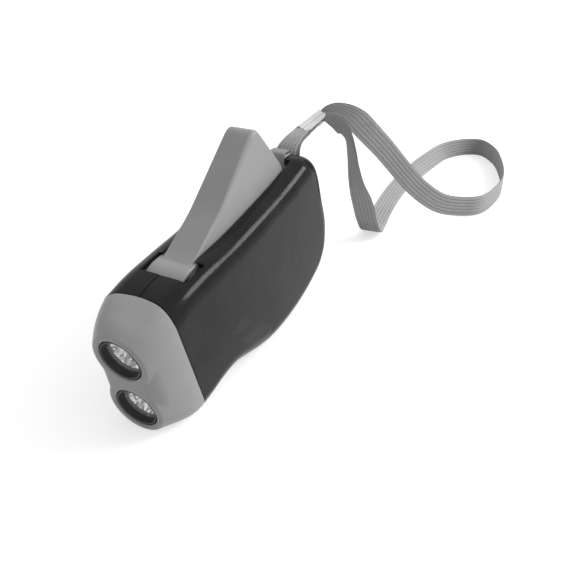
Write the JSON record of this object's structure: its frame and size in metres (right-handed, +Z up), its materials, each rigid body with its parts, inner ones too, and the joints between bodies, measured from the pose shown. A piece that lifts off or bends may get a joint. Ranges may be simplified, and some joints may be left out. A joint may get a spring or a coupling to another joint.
{
  "type": "hand crank flashlight",
  "caption": "Hand-powered torch with stacked lamps in a grey head, a smoky slotted housing, a sprung squeeze lever geared to a dynamo, a sliding catch and a webbing wrist strap.",
  "frame": {"origin": "bottom centre of the torch without its strap: the middle of its length and thickness, on the flats that it stands on", "axes": "+X out of the side that holds the flywheel, +Y from the lamps towards the strap, +Z up from the flats that it stands on"},
  "size_m": [0.061, 0.2812, 0.0697],
  "materials": {
    "smoky_shell": "smoky translucent, glossy",
    "head_grey": "satin",
    "lever_grey": "satin",
    "catch_grey": "satin",
    "black_plastic": "satin",
    "clear_lens": "clear, glossy",
    "bright_reflector": "mirror bright",
    "white_nylon": "satin",
    "steel": "plain",
    "ferrite": "dull",
    "copper_wire": "enamelled",
    "board_green": "satin",
    "lead_red": "satin",
    "lead_black": "satin",
    "webbing": "woven, ribbed"
  },
  "bodies": {
    "body": {"left_shell": "smoky_shell", "right_shell": "smoky_shell", "head_cover": "head_grey", "upper_lens_ring": "black_plastic", "lower_lens_ring": "black_plastic", "coil_bobbin": "black_plastic", "bridge_rectifier": "black_plastic", "upper_lens": "clear_lens", "lower_lens": "clear_lens", "upper_led": "clear_lens", "lower_led": "clear_lens", "upper_reflector": "bright_reflector", "lower_reflector": "bright_reflector", "front_screw": "steel", "tail_screw": "steel", "heel_screw": "steel", "lever_pin": "steel", "return_spring": "steel", "first_gear_axle": "steel", "second_gear_axle": "steel", "stator_core": "steel", "storage_cell": "steel", "cell_clip": "steel", "strap_pin": "steel", "strap_crimp": "steel", "coil_winding": "copper_wire", "coil_leads": "copper_wire", "led_board": "board_green", "power_board": "board_green", "lamp_lead_red": "lead_red", "lamp_lead_black": "lead_black", "strap_loop": "webbing", "wrist_strap": "webbing"},
    "lever": {"squeeze_lever": "lever_grey"},
    "first_wheel": {"first_gear": "white_nylon"},
    "second_wheel": {"second_gear": "white_nylon"},
    "rotor": {"rotor_shaft": "steel", "rotor_magnet": "ferrite", "flywheel": "steel"},
    "catch": {"lever_lock": "catch_grey"}
  },
  "joints": [
    {"name": "lever_squeeze", "type": "hinge", "parent": "body", "child": "lever", "pos_m": [0, -0.02652, 0.033], "axis": [-1, 0, 0], "range_deg": [0, 22], "stiffness_Nm_per_rad": 0.4, "springref_deg": -28.65},
    {"name": "first_wheel_spin", "type": "hinge", "parent": "body", "child": "first_wheel", "pos_m": [0, 0.01747, 0.01955], "axis": [-1, 0, 0], "range_deg": [-147, 0]},
    {"name": "second_wheel_spin", "type": "hinge", "parent": "body", "child": "second_wheel", "pos_m": [0, 0.00142, 0.03079], "axis": [-1, 0, 0], "range_deg": [0, 538]},
    {"name": "rotor_spin", "type": "hinge", "parent": "body", "child": "rotor", "pos_m": [0, -0.01195, 0.02398], "axis": [-1, 0, 0], "range_deg": [-2152, 0]},
    {"name": "catch_slide", "type": "slide", "parent": "body", "child": "catch", "axis": [0, -1, 0], "range_m": [0, 0.0043]}
  ],
  "couplings": [
    {"joint": "first_wheel_spin", "follows": "lever_squeeze", "ratio": -6.6667},
    {"joint": "second_wheel_spin", "follows": "lever_squeeze", "ratio": 24.444},
    {"joint": "rotor_spin", "follows": "lever_squeeze", "ratio": -97.778}
  ]
}
